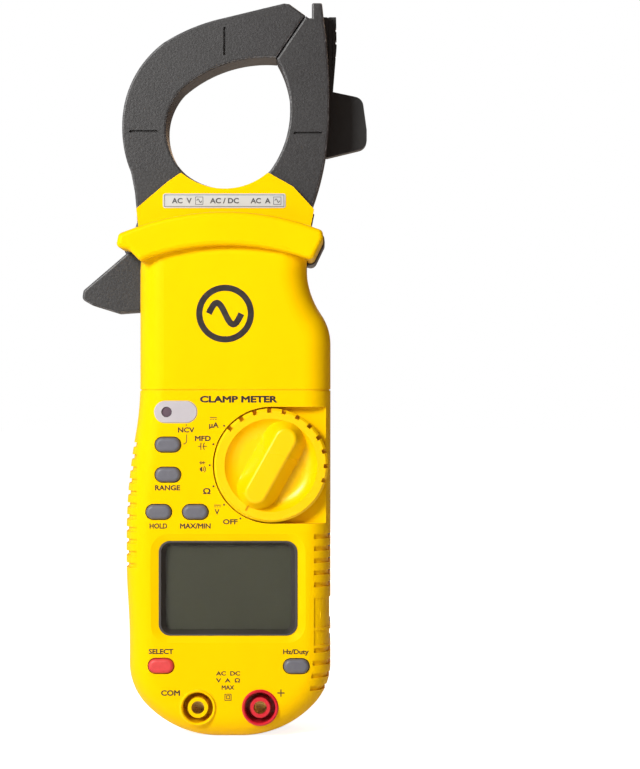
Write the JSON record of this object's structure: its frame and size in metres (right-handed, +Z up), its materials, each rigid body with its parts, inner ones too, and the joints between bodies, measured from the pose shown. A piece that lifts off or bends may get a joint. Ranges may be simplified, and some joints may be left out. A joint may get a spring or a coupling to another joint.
{
  "type": "clamp meter",
  "caption": "Hand-held clamp meter with a hinged jaw and trigger, rotary dial, soft keys, display and two 4 mm input jacks.",
  "frame": {"origin": "middle of the flat foot at the bottom end", "axes": "+Z up towards the jaws, front panel towards -Y, +X to the reader's right"},
  "size_m": [0.0893, 0.044, 0.2276],
  "materials": {
    "yellow_shell": "satin moulded ABS",
    "yellow_knob": "satin moulded ABS",
    "dark_shell": "fine textured",
    "jaw_grey": "fine textured",
    "holder_black": "smooth",
    "bezel_black": "polished",
    "lcd_glass": "clear, glossy",
    "lcd_grey": "reflective LCD, unlit",
    "label_white": "printed film",
    "button_grey": "satin silicone",
    "button_red": "satin silicone",
    "jack_red": "moulded",
    "ncv_diffuser": "milky, translucent",
    "ncv_lamp": "clear dark lamp",
    "contact_brass": "turned",
    "can_metal": "polished steel",
    "screw_steel": "zinc plated",
    "spring_steel": "nickel plated",
    "core_steel": "laminated",
    "coil_copper": "enamelled wire",
    "cell_wrap": "cell jacket",
    "board_green": "solder mask",
    "chip_black": "epoxy",
    "zebra_rubber": "silicone",
    "rotor_white": "acetal"
  },
  "bodies": {
    "root": {"front_case": "yellow_shell", "rear_case": "dark_shell", "battery_cover": "dark_shell", "battery_cover_screw": "screw_steel", "case_screws": "screw_steel", "jaw_mount_screws": "screw_steel", "rating_label": "label_white", "lcd_bezel": "bezel_black", "lcd_window": "lcd_glass", "lcd_panel": "lcd_grey", "zebra_strip": "zebra_rubber", "main_board": "board_green", "meter_chip": "chip_black", "crystal": "can_metal", "buzzer": "chip_black", "jack_com": "yellow_shell", "jack_positive": "jack_red", "jack_sockets": "contact_brass", "ncv_window": "ncv_diffuser", "ncv_led": "ncv_lamp", "batteries": "cell_wrap", "battery_springs": "spring_steel", "battery_contacts": "spring_steel", "keypad_membrane": "zebra_rubber", "keypad_select": "zebra_rubber", "keypad_hz_duty": "zebra_rubber", "fixed_jaw_front": "jaw_grey", "fixed_jaw_rear": "jaw_grey", "fixed_core": "core_steel", "fixed_coil": "coil_copper", "pivot_pin": "can_metal", "ncv_antenna": "contact_brass", "probe_holder": "holder_black", "probe_holder_screw": "screw_steel"},
    "jaw_lever": {"moving_jaw_front": "jaw_grey", "moving_jaw_rear": "jaw_grey", "moving_core": "core_steel", "moving_coil": "coil_copper", "trigger_lever": "jaw_grey", "jaw_spring": "spring_steel"},
    "dial": {"dial_knob": "yellow_knob", "dial_rotor": "rotor_white", "detent_ball": "can_metal", "dial_wiper": "contact_brass"},
    "key_ncv": {"button_ncv": "button_grey"},
    "key_range": {"button_range": "button_grey"},
    "key_hold": {"button_hold": "button_grey"},
    "key_max_min": {"button_max_min": "button_grey"},
    "key_select": {"button_select": "button_red"},
    "key_hz_duty": {"button_hz_duty": "button_grey"}
  },
  "joints": [
    {"name": "jaw_hinge", "type": "hinge", "parent": "root", "child": "jaw_lever", "pos_m": [-0.0225, 0, 0.156], "axis": [0, -1, 0], "range_deg": [0, 26], "stiffness_Nm_per_rad": 0.8, "springref_deg": -20.05},
    {"name": "dial_turn", "type": "hinge", "parent": "root", "child": "dial", "pos_m": [0.0129, -0.02, 0.0839], "axis": [0, 1, 0], "range_deg": [0, 100]},
    {"name": "press_ncv", "type": "slide", "parent": "root", "child": "key_ncv", "axis": [0, 1, 0], "range_m": [0, 0.0006], "stiffness_N_per_m": 2000, "springref_m": -0.0003},
    {"name": "press_range", "type": "slide", "parent": "root", "child": "key_range", "axis": [0, 1, 0], "range_m": [0, 0.0006], "stiffness_N_per_m": 2000, "springref_m": -0.0003},
    {"name": "press_hold", "type": "slide", "parent": "root", "child": "key_hold", "axis": [0, 1, 0], "range_m": [0, 0.0006], "stiffness_N_per_m": 2000, "springref_m": -0.0003},
    {"name": "press_max_min", "type": "slide", "parent": "root", "child": "key_max_min", "axis": [0, 1, 0], "range_m": [0, 0.0006], "stiffness_N_per_m": 2000, "springref_m": -0.0003},
    {"name": "press_select", "type": "slide", "parent": "root", "child": "key_select", "axis": [0, 1, 0], "range_m": [0, 0.0006], "stiffness_N_per_m": 2000, "springref_m": -0.0003},
    {"name": "press_hz_duty", "type": "slide", "parent": "root", "child": "key_hz_duty", "axis": [0, 1, 0], "range_m": [0, 0.0006], "stiffness_N_per_m": 2000, "springref_m": -0.0003}
  ]
}
